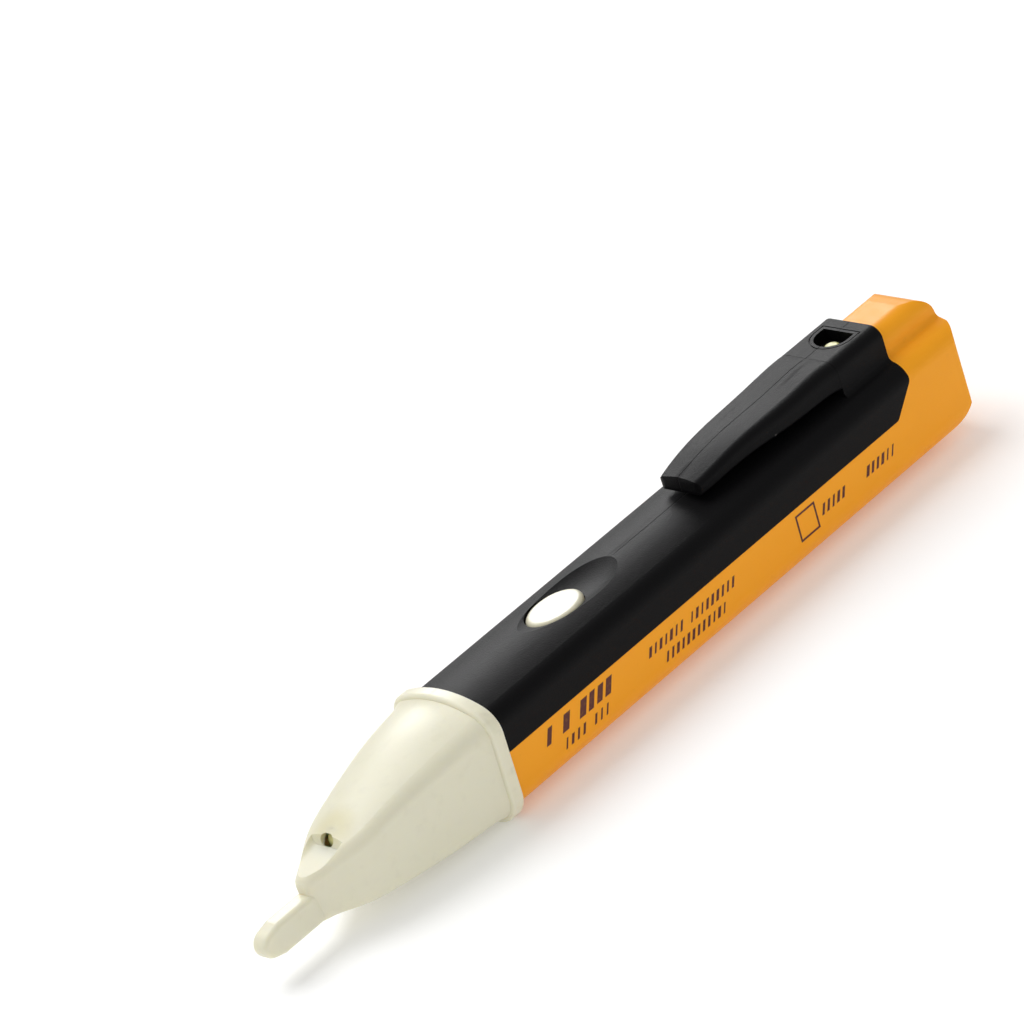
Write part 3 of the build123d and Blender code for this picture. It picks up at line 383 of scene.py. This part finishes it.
def printed_sleeve(colours):
    """Shrink sleeve of a cell: dark blue body, copper band at the nub end, fine lines and sheen."""
    finish = Finish("printed_sleeve", Coat_Weight=0.4, Coat_Roughness=0.15)
    low, high = (Vector(corner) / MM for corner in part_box("front_cell_sleeve"))
    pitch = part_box("rear_cell_sleeve")[0][0] / MM - low.x
    local = (finish.x - low.x).math("FLOORED_MODULO", finish.x - low.x, pitch)
    length = high.x - low.x
    band = local.under(length * 0.27)
    lines = abs((local - length * 0.30)).under(0.35).largest(abs(local - length * 0.93).under(0.5))
    cloud = finish.noise(0.3, 2.0)
    blue = finish.mix(cloud, Vector(colours.sleeve) * 0.85, Vector(colours.sleeve) * 1.15)
    tone = finish.mix(band, blue, (0.62, 0.36, 0.16))
    tone = finish.mix(lines, tone, (0.80, 0.80, 0.78))
    centre_z = middle("front_cell").z / MM
    turn = (finish.z - centre_z).math("ARCTAN2", finish.z - centre_z, finish.y)
    bars = abs(turn.wrap(math.pi / 2)).under(0.32)
    panel = abs((local - length * 0.62)).under(length * 0.2)
    stripes = panel * bars * abs(local.wrap(1.6)).under(0.34)
    tone = finish.mix(stripes * 0.8, tone, (0.72, 0.74, 0.78))
    finish.relief(finish.noise(0.5, 2.0) * 0.03 + lines * 0.01)
    return finish.dress(Base_Color=tone, Roughness=0.25 + cloud * 0.1, Metallic=band * 0.8)


def lens_epoxy(name, tone, through):
    """Epoxy lamp body, clear enough to let through the light behind it."""
    finish = Finish(name, IOR=1.54, Transmission_Weight=through, Subsurface_Weight=0.2,
                    Subsurface_Scale=1.0 * MM)
    swirl = finish.noise(0.9, 2.0)
    colour = finish.mix(swirl, Vector(tone) * 0.85, tone)
    finish.relief(finish.noise(1.5) * 0.01)
    return finish.dress(Base_Color=colour, Roughness=0.12 + swirl * 0.08)


def print_ink(colours):
    """Dark brown pad print with a slightly broken edge and an uneven film."""
    finish = Finish("print_ink", Specular_IOR_Level=0.35)
    thin = finish.step(finish.noise(2.2, 4.0), 0.5, 0.8)
    tone = finish.mix(thin * 0.45, colours.ink, Vector(colours.shell) * 0.35)
    finish.relief(finish.noise(4.0, 2.0) * 0.01)
    return finish.dress(Base_Color=tone, Roughness=0.38 + thin * 0.15)


def floor_paper(tone):
    """Matt white background board, lit a little from below."""
    finish = Finish("floor_paper", Specular_IOR_Level=0.1, Emission_Color=(1, 1, 1, 1),
                    Emission_Strength=0.17)
    colour = finish.mix(finish.noise(0.02, 3.0), Vector(tone) * 0.99, tone)
    finish.relief(finish.noise(2.0, 2.0) * 0.01)
    return finish.dress(Base_Color=colour, Roughness=0.9)


def coat(material, *names):
    """Give CAD parts one finish."""
    for name in names:
        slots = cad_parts[name].data.materials
        slots.clear()
        slots.append(material)


# ------------------------------------------------------------------ mesh helpers
def link_mesh(name, mesh, material=None):
    """A new object at the origin for a finished mesh."""
    piece = bpy.data.objects.new(name, mesh)
    bpy.context.scene.collection.objects.link(piece)
    if material is not None:
        mesh.materials.clear()
        mesh.materials.append(material)
    return piece


class Growth:
    """A Geometry Nodes tree under construction, with named inputs for its sizes."""

    def __init__(self, name):
        self.tree = bpy.data.node_groups.new(name, "GeometryNodeTree")
        self.tree.interface.new_socket("Geometry", in_out="OUTPUT", socket_type="NodeSocketGeometry")
        self.values = {}
        self.inlet = self.tree.nodes.new("NodeGroupInput")

    def size(self, name, kind, value):
        """A named input of the tree, with the value that the modifier will set."""
        socket = self.tree.interface.new_socket(name, in_out="INPUT", socket_type=kind)
        self.values[socket.identifier] = value
        return self.inlet.outputs[name]

    def add(self, kind, settings=None, inputs=None, out=0):
        """Add a node, with its settings first and then its inputs, and return one of its outputs."""
        node = self.tree.nodes.new(kind)
        for name, value in (settings or {}).items():
            setattr(node, name, value)
        for name, value in (inputs or {}).items():
            if isinstance(value, (bpy.types.NodeSocket, list)):
                for source in value if isinstance(value, list) else [value]:
                    self.tree.links.new(source, node.inputs[name])
            else:
                node.inputs[name].default_value = value
        return node.outputs[out]

    def finish(self, name, geometry, material):
        """Realise the tree as one plain mesh of a material."""
        real = self.add("GeometryNodeRealizeInstances", inputs={"Geometry": geometry})
        painted = self.add("GeometryNodeSetMaterial", inputs={"Geometry": real, "Material": material})
        outlet = self.tree.nodes.new("NodeGroupOutput")
        self.tree.links.new(painted, outlet.inputs[0])
        holder = bpy.data.objects.new(name + "_holder", bpy.data.meshes.new(name + "_holder"))
        bpy.context.scene.collection.objects.link(holder)
        modifier = holder.modifiers.new(name, "NODES")
        modifier.node_group = self.tree
        for identifier, value in self.values.items():
            modifier[identifier] = value
        depsgraph = bpy.context.evaluated_depsgraph_get()
        mesh = bpy.data.meshes.new_from_object(holder.evaluated_get(depsgraph))
        bpy.data.objects.remove(holder)
        mesh.name = name
        return link_mesh(name, mesh, material)


def outward(piece):
    """Turn a piece's faces outwards."""
    bm = bmesh.new()
    bm.from_mesh(piece.data)
    bmesh.ops.recalc_face_normals(bm, faces=bm.faces)
    bm.to_mesh(piece.data)
    bm.free()
    for polygon in piece.data.polygons:
        polygon.use_smooth = True


def square_ring(name, x, z, outer, inner, film):
    """A flat square ring in XZ, in millimetres, cut into small squares, as a closed film facing -Y."""
    cell = (outer - inner) / 2
    count = round(2 * outer / cell)
    bm = bmesh.new()
    grid = [[bm.verts.new(((x - outer + cell * i) * MM, 0, (z - outer + cell * j) * MM))
             for i in range(count + 1)] for j in range(count + 1)]
    faces = []
    for j in range(count):
        for i in range(count):
            away = max(abs(cell * (i + 0.5) - outer), abs(cell * (j + 0.5) - outer))
            if away > inner:
                faces.append(bm.faces.new((grid[j][i], grid[j][i + 1], grid[j + 1][i + 1],
                                           grid[j + 1][i])))
    made = bmesh.ops.extrude_face_region(bm, geom=faces, use_keep_orig=True)
    bmesh.ops.translate(bm, verts=[v for v in made["geom"] if isinstance(v, bmesh.types.BMVert)],
                        vec=(0, -film, 0))
    bmesh.ops.delete(bm, geom=[v for v in bm.verts if not v.link_faces], context="VERTS")
    bmesh.ops.recalc_face_normals(bm, faces=bm.faces)
    mesh = bpy.data.meshes.new(name)
    bm.to_mesh(mesh)
    bm.free()
    return mesh


def surface(node):
    """A search tree over a CAD part's triangles."""
    return BVHTree.FromPolygons([v.co[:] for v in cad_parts[node].data.vertices],
                                [p.vertices[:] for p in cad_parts[node].data.polygons])


def press_on(piece, tree, film):
    """Move a flat piece's points along Y onto the near side of a surface, as a film."""
    outside, sunk = -100 * MM, film * 0.3
    for vertex in piece.data.vertices:
        depth = vertex.co.y
        start = Vector((vertex.co.x, outside, vertex.co.z))
        hit = tree.ray_cast(start, Vector((0, 1, 0)))[0]
        if hit is None:
            raise RuntimeError(piece.name + " runs off the surface")
        vertex.co.y = hit.y + (depth if depth < 0 else sunk)
    piece.data.update()


# ------------------------------------------------------------------ sizes and colours
class TesterColours(bpy.types.PropertyGroup):
    """Colours of the tester's plastics and print."""

    shell: FloatVectorProperty(name="Shell", description="Orange-yellow of the body shell",
                               default=(0.98, 0.385, 0.010), subtype="COLOR", min=0, max=1)
    cover: FloatVectorProperty(name="Cover", description="Black of the grip cover and clip",
                               default=(0.0024, 0.0023, 0.0026), subtype="COLOR", min=0, max=1)
    nose: FloatVectorProperty(name="Nose", description="Ivory of the nose and button",
                              default=(0.80, 0.77, 0.60), subtype="COLOR", min=0, max=1)
    # painted shade: the olive that is mixed into the nose round the lens opening
    lens_shade_tint: FloatVectorProperty(name="Lens Tint", description="Olive tint round the lens opening",
                                   default=(0.55, 0.47, 0.14), subtype="COLOR", min=0, max=1)
    pin: FloatVectorProperty(name="Pin", description="Yellow-green of the release pin",
                             default=(0.60, 0.58, 0.22), subtype="COLOR", min=0, max=1)
    tray: FloatVectorProperty(name="Tray", description="Natural plastic of the battery tray",
                              default=(0.62, 0.60, 0.52), subtype="COLOR", min=0, max=1)
    board: FloatVectorProperty(name="Board", description="Green of the solder mask",
                               default=(0.008, 0.075, 0.028), subtype="COLOR", min=0, max=1)
    sleeve: FloatVectorProperty(name="Sleeve", description="Blue of the cell sleeves",
                                default=(0.02, 0.05, 0.16), subtype="COLOR", min=0, max=1)
    ink: FloatVectorProperty(name="Ink", description="Dark brown of the printed marks",
                             default=(0.09, 0.012, 0.006), subtype="COLOR", min=0, max=1)
    floor: FloatVectorProperty(name="Floor", description="White of the background",
                               default=(0.93, 0.93, 0.93), subtype="COLOR", min=0, max=1)


class TesterMarks(bpy.types.PropertyGroup):
    """Sizes of the printed marks on the side of the shell."""

    film: FloatProperty(name="Film", description="Thickness of the ink", default=0.015 * MM,
                        unit="LENGTH", min=0.001 * MM)
    slant: FloatProperty(name="Slant", description="Lean of the bars, as a share of their height",
                         default=0.45, min=0, max=1)
    seed: IntProperty(name="Seed", description="Seed of the bars' widths", default=7, min=0)


class TesterDetail(bpy.types.PropertyGroup):
    """Sizes of the small parts inside."""

    joint_radius: FloatProperty(name="Joint Radius", description="Foot radius of a solder joint",
                                default=0.55 * MM, unit="LENGTH", min=0.1 * MM)
    seed: IntProperty(name="Seed", description="Seed of the joints' sizes", default=3, min=0)
    pin_travel: FloatProperty(name="Pin Travel", description="How far the release pin goes down",
                              default=1.0 * MM, unit="LENGTH", min=0)


class TesterStudio(bpy.types.PropertyGroup):
    """Camera and lights."""

    azimuth: FloatProperty(name="Azimuth", description="Camera's bearing from the pen's near side",
                           default=math.radians(-39.95), unit="ROTATION")
    elevation: FloatProperty(name="Elevation", description="Camera's height above the floor",
                             default=math.radians(29.23), unit="ROTATION")
    roll: FloatProperty(name="Roll", description="Camera's turn about its line of sight",
                        default=math.radians(-18.0), unit="ROTATION")
    distance: FloatProperty(name="Distance", description="Camera to the middle of the pen",
                            default=0.9225, unit="LENGTH", min=0.1)
    aim_across: FloatProperty(name="Aim Across", description="How far right of the aim the pen sits",
                              default=0.01354, unit="LENGTH")
    aim_up: FloatProperty(name="Aim Up", description="How far below the aim the pen sits",
                          default=0.01725, unit="LENGTH")
    aim_height: FloatProperty(name="Aim Height", default=9.1 * MM, unit="LENGTH",
                              description="Height of the aim over the shell's underside")
    lens: FloatProperty(name="Lens", description="Focal length in millimetres", default=223.0, min=10)
    key_power: FloatProperty(name="Key", description="Power of the main light in watts",
                             default=8.2, min=0)
    world: FloatProperty(name="World", description="Strength of the white surroundings",
                         default=0.54, min=0)


# ------------------------------------------------------------------ operators
class TESTER_OT_finish_parts(bpy.types.Operator):
    """Give every CAD part its plastic, rubber, metal or laminate."""

    bl_idname = "tester.finish_parts"
    bl_label = "Finish Parts"

    def execute(self, context):
        colours = context.scene.tester_colours
        coat(shell_plastic(colours), "body_shell")
        coat(cover_plastic(colours), "grip_cover", "pocket_clip")
        coat(nose_plastic(colours), "nose_cone")
        coat(button_plastic(colours), "power_button")
        coat(pin_plastic(colours), "release_pin")
        coat(seal_rubber(colours), "nose_seal")
        coat(tray_plastic(colours), "battery_tray", "latch_tongue")
        coat(printed_sleeve(colours), "front_cell_sleeve", "rear_cell_sleeve")
        coat(brushed_metal("cell_steel", (0.66, 0.66, 0.67), (1, 0.05, 0.05), 0.3),
             "front_cell", "rear_cell")
        coat(brushed_metal("spring_plate", (0.72, 0.70, 0.66), (0.2, 1, 1), 0.4), "release_spring",
             "rear_spring", "front_contact", "rear_contact", "return_strip", "switch_shield",
             "led_leads")
        coat(brushed_metal("screw_steel", (0.60, 0.60, 0.62), (1, 1, 0.1), 0.6),
             "tray_screws", "board_screws")
        coat(brushed_metal("antenna_brass", (0.74, 0.52, 0.20), (0.05, 1, 1), 0.7), "sensor_antenna")
        coat(solder_mask(colours), "circuit_board")
        coat(chip_epoxy(colours), "control_chip", "board_transistors", "switch_base", "switch_plunger",
             "buzzer")
        button_x = middle("power_button").x / MM
        flange_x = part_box("nose_seal")[0][0] / MM
        coat(end_capped("resistor_ceramic", (0.022, 0.022, 0.025),
                        (button_x, flange_x - 3.5, 2.2, button_x + 11.0 + 1.2, 2.4), 1.6),
             "board_resistors")
        coat(end_capped("capacitor_ceramic", (0.36, 0.23, 0.12),
                        (button_x, flange_x - 9.2, 9.0, button_x + 6.6, 9.0), 2.0), "board_capacitors")
        coat(lens_epoxy("clear_epoxy", (0.84, 0.78, 0.34), 0.0), "torch_led")
        coat(lens_epoxy("red_epoxy", (0.72, 0.03, 0.02), 0.35), "alarm_led")
        return {"FINISHED"}


class TESTER_OT_marks(bpy.types.Operator):
    """Print rows of plain slanted bars on the near side of the shell."""

    bl_idname = "tester.marks"
    bl_label = "Printed Bars"

    # Each row: first x, last x, middle z, height, pitch and widest bar, in millimetres.
    rows = (("title_bars", -23.2, -9.6, 8.7, 2.6, 1.9, 1.45),
            ("title_line_bars", -20.4, -11.4, 5.6, 1.6, 1.3, 0.7),
            ("upper_bars", -0.4, 19.2, 8.35, 1.6, 1.2, 0.72),
            ("lower_bars", 2.6, 15.4, 5.7, 1.6, 1.2, 0.72),
            ("middle_bars", 40.2, 45.4, 7.7, 1.7, 1.2, 0.7),
            ("rear_bars", 51.0, 56.8, 7.7, 1.7, 1.2, 0.72))
    # The square ring: middle x and z, half its outer side and half its inner side, in millimetres.
    ring = ("square_ring", 36.4, 7.8, 2.3, 1.95)

    def execute(self, context):
        marks, colours = context.scene.tester_marks, context.scene.tester_colours
        ink = print_ink(colours)
        shell = surface("body_shell")
        for number, (name, first, last, level, height, pitch, width) in enumerate(self.rows):
            growth = Growth(name)
            count = growth.size("Count", "NodeSocketInt", round((last - first) / pitch) + 1)
            seed = growth.size("Seed", "NodeSocketInt", marks.seed + number)
            slant = growth.size("Slant", "NodeSocketFloat", marks.slant)
            film = growth.size("Film", "NodeSocketFloat", marks.film)
            bar = growth.add("GeometryNodeMeshGrid",
                             inputs={"Size X": width * MM, "Size Y": height * MM, "Vertices X": 4,
                                     "Vertices Y": 6})
            line = growth.add("GeometryNodeMeshLine",
                              inputs={"Count": count, "Start Location": (first * MM, 0, level * MM),
                                      "Offset": (pitch * MM, 0, 0)})
            spread = growth.add("FunctionNodeRandomValue", {"data_type": "FLOAT_VECTOR"},
                                {"Min": (0.45, 0.92, 1), "Max": (1.0, 1.0, 1), "Seed": seed})
            kept = growth.add("FunctionNodeRandomValue", {"data_type": "BOOLEAN"},
                              {"Probability": 0.93, "Seed": seed}, out=3)
            bars = growth.add("GeometryNodeInstanceOnPoints",
                              inputs={"Points": line, "Instance": bar, "Scale": spread,
                                      "Selection": kept})
            flat = growth.add("GeometryNodeRealizeInstances", inputs={"Geometry": bars})
            turned = self.lean(growth, slant)
            upright = growth.add("GeometryNodeSetPosition",
                                 inputs={"Geometry": flat, "Position": turned})
            thick = growth.add("GeometryNodeExtrudeMesh",
                               inputs={"Mesh": upright, "Offset": (0, -1, 0), "Offset Scale": film,
                                       "Individual": False})
            back = growth.add("GeometryNodeFlipFaces", inputs={"Mesh": upright})
            closed = growth.add("GeometryNodeJoinGeometry", inputs={"Geometry": [thick, back]})
            welded = growth.add("GeometryNodeMergeByDistance",
                                inputs={"Geometry": closed, "Distance": 0.001 * MM})
            self.lay(growth.finish(name, welded, ink), shell, marks.film)
        self.lay(link_mesh(self.ring[0], square_ring(*self.ring, marks.film), ink), shell, marks.film)
        return {"FINISHED"}

    def lay(self, piece, shell, film):
        """Press a mark onto the shell and let it move with the shell."""
        press_on(piece, shell, film)
        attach(piece, SHELL)

    def lean(self, growth, slant):
        """The place of a flat bar's point once the bar stands in XZ and leans back with its height."""
        place = growth.add("GeometryNodeInputPosition")
        parts = growth.tree.nodes.new("ShaderNodeSeparateXYZ")
        growth.tree.links.new(place, parts.inputs[0])
        x, y, z = parts.outputs
        rise = growth.add("ShaderNodeMath", {"operation": "MULTIPLY"}, {0: y, 1: slant})
        across = growth.add("ShaderNodeMath", {"operation": "ADD"}, {0: x, 1: rise})
        up = growth.add("ShaderNodeMath", {"operation": "ADD"}, {0: y, 1: z})
        return growth.add("ShaderNodeCombineXYZ", inputs={"X": across, "Y": 0.0, "Z": up})


class TESTER_OT_board(bpy.types.Operator):
    """Set rows of solder joints on the circuit board."""

    bl_idname = "tester.board"
    bl_label = "Solder Joints"

    def execute(self, context):
        detail = context.scene.tester_detail
        board_low, board_high = (Vector(corner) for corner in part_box("circuit_board"))
        chip = middle("control_chip")
        solder = brushed_metal("solder", (0.70, 0.69, 0.66), (1, 1, 1), 0.3)
        reach = board_high.y - 1.0 * MM
        under_x = board_low.x + 6 * MM
        # Each row: start, pitch, count and the side of the board that it stands on.
        rows = (("under_joints_near", (under_x, -reach * 0.6, board_low.z), 2.54 * MM, 9, -1),
                ("under_joints_far", (under_x, reach * 0.6, board_low.z), 2.54 * MM, 9, -1),
                ("chip_joints", (chip.x - 2.0 * MM, -reach, board_high.z), 1.27 * MM, 4, 1))
        for name, start, pitch, count, side in rows:
            growth = Growth(name)
            joints = growth.size("Count", "NodeSocketInt", count)
            radius = growth.size("Radius", "NodeSocketFloat", detail.joint_radius)
            seed = growth.size("Seed", "NodeSocketInt", detail.seed)
            foot = growth.add("GeometryNodeMeshCone",
                              inputs={"Vertices": 14, "Side Segments": 5, "Radius Bottom": radius,
                                      "Radius Top": detail.joint_radius * 0.28,
                                      "Depth": detail.joint_radius * 0.9})
            line = growth.add("GeometryNodeMeshLine",
                              inputs={"Count": joints, "Start Location": start, "Offset": (pitch, 0, 0)})
            size = growth.add("FunctionNodeRandomValue", {"data_type": "FLOAT_VECTOR"},
                              {"Min": (0.86, 0.86, 0.8 * side), "Max": (1.08, 1.08, 1.1 * side),
                               "Seed": seed})
            placed = growth.add("GeometryNodeInstanceOnPoints",
                                inputs={"Points": line, "Instance": foot, "Scale": size})
            piece = growth.finish(name, placed, solder)
            outward(piece)
            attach(piece, INNER)
        return {"FINISHED"}


class TESTER_OT_spring(bpy.types.Operator):
    """Make the release pin's coil: a merged copy of the CAD spring that moves with the shell."""

    bl_idname = "tester.spring"
    bl_label = "Release Spring"

    def execute(self, context):
        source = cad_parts["release_spring"]
        mesh = source.data.copy()
        bm = bmesh.new()
        bm.from_mesh(mesh)
        bmesh.ops.remove_doubles(bm, verts=bm.verts, dist=0.001 * MM)
        bm.to_mesh(mesh)
        bm.free()
        coil = link_mesh("release_coil", mesh, source.data.materials[0])
        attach(coil, SHELL)
        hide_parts("release_spring")
        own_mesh(coil)
        return {"FINISHED"}


class TESTER_OT_stage(bpy.types.Operator):
    """Lay the floor, hang the lights and set up the camera."""

    bl_idname = "tester.stage"
    bl_label = "Studio"

    def execute(self, context):
        studio, colours = context.scene.tester_studio, context.scene.tester_colours
        scene = context.scene
        low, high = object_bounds()
        floor_half = 2.5
        bm = bmesh.new()
        bmesh.ops.create_grid(bm, x_segments=8, y_segments=8, size=floor_half,
                              matrix=Matrix.Translation((0, 0, low.z - 0.02 * MM)))
        mesh = bpy.data.meshes.new("floor")
        bm.to_mesh(mesh)
        bm.free()
        link_mesh("floor", mesh, floor_paper(colours.floor))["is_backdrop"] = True

        world = bpy.data.worlds.new("studio")
        world.use_nodes = True
        background = world.node_tree.nodes["Background"]
        background.inputs["Color"].default_value = (1.0, 1.0, 1.0, 1)
        background.inputs["Strength"].default_value = studio.world
        scene.world = world
        scene.view_settings.view_transform = "Standard"

        for name, place, size, share in (("key", (-0.10, 0.55, 1.10), 0.8, 1.0),
                                         ("sheen", (0.62, 0.74, 0.56), 0.5, 0.9),
                                         ("fill", (-0.9, -0.9, 0.6), 0.9, 0.10)):
            lamp = bpy.data.lights.new(name, "AREA")
            lamp.energy = studio.key_power * share
            lamp.size = size
            light = bpy.data.objects.new(name, lamp)
            light.location = place
            light.rotation_euler = (-Vector(place)).to_track_quat("-Z", "Y").to_euler()
            light.visible_diffuse = name != "sheen"
            scene.collection.objects.link(light)

        azimuth, elevation = studio.azimuth, studio.elevation
        back = Vector((math.sin(azimuth) * math.cos(elevation), -math.cos(azimuth) * math.cos(elevation),
                       math.sin(elevation)))
        level = Vector((math.cos(azimuth), math.sin(azimuth), 0))
        right = Matrix.Rotation(studio.roll, 3, back) @ level
        up = back.cross(right)
        centre = Vector((0, 0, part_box("body_shell")[0][2] + studio.aim_height))
        place = centre + back * studio.distance
        aim = centre - right * studio.aim_across + up * studio.aim_up
        out = (place - aim).normalized()
        across = (right - out * right.dot(out)).normalized()
        turned = Matrix((across, out.cross(across), out)).transposed()
        lens = bpy.data.cameras.new("camera")
        lens.sensor_width = 36.0
        lens.lens = studio.lens
        lens.clip_start = 0.05
        camera = bpy.data.objects.new("camera", lens)
        camera.matrix_world = Matrix.Translation(place) @ turned.to_4x4()
        scene.collection.objects.link(camera)
        scene.camera = camera
        return {"FINISHED"}


CLASSES = [TesterColours, TesterMarks, TesterDetail, TesterStudio, TESTER_OT_finish_parts,
           TESTER_OT_marks, TESTER_OT_board, TESTER_OT_spring, TESTER_OT_stage]
PIECES = ("finish_parts", "marks", "board", "spring", "stage")


class TESTER_PT_panel(bpy.types.Panel):
    """Lists the tester's sizes, colours and the steps that make it."""

    bl_label = "Voltage Tester"
    bl_idname = "TESTER_PT_panel"
    bl_space_type = "VIEW_3D"
    bl_region_type = "UI"
    bl_category = "Tester"

    def draw(self, context):
        for group in (context.scene.tester_colours, context.scene.tester_marks,
                      context.scene.tester_detail, context.scene.tester_studio):
            box = self.layout.box()
            for name in group.bl_rna.properties.keys():
                if name not in ("rna_type", "name"):
                    box.prop(group, name)
        for piece in PIECES:
            self.layout.operator("tester." + piece)


def register():
    """Register the classes and hang the settings on the scene."""
    for kind in CLASSES + [TESTER_PT_panel]:
        bpy.utils.register_class(kind)
    bpy.types.Scene.tester_colours = PointerProperty(type=TesterColours)
    bpy.types.Scene.tester_marks = PointerProperty(type=TesterMarks)
    bpy.types.Scene.tester_detail = PointerProperty(type=TesterDetail)
    bpy.types.Scene.tester_studio = PointerProperty(type=TesterStudio)


def unregister():
    """Take the settings and classes away again."""
    for name in ("tester_colours", "tester_marks", "tester_detail", "tester_studio"):
        delattr(bpy.types.Scene, name)
    for kind in reversed(CLASSES + [TESTER_PT_panel]):
        bpy.utils.unregister_class(kind)


def main():
    """Make every piece in order."""
    register()
    for piece in PIECES:
        getattr(bpy.ops.tester, piece)()


if __name__ == "__main__":
    main()
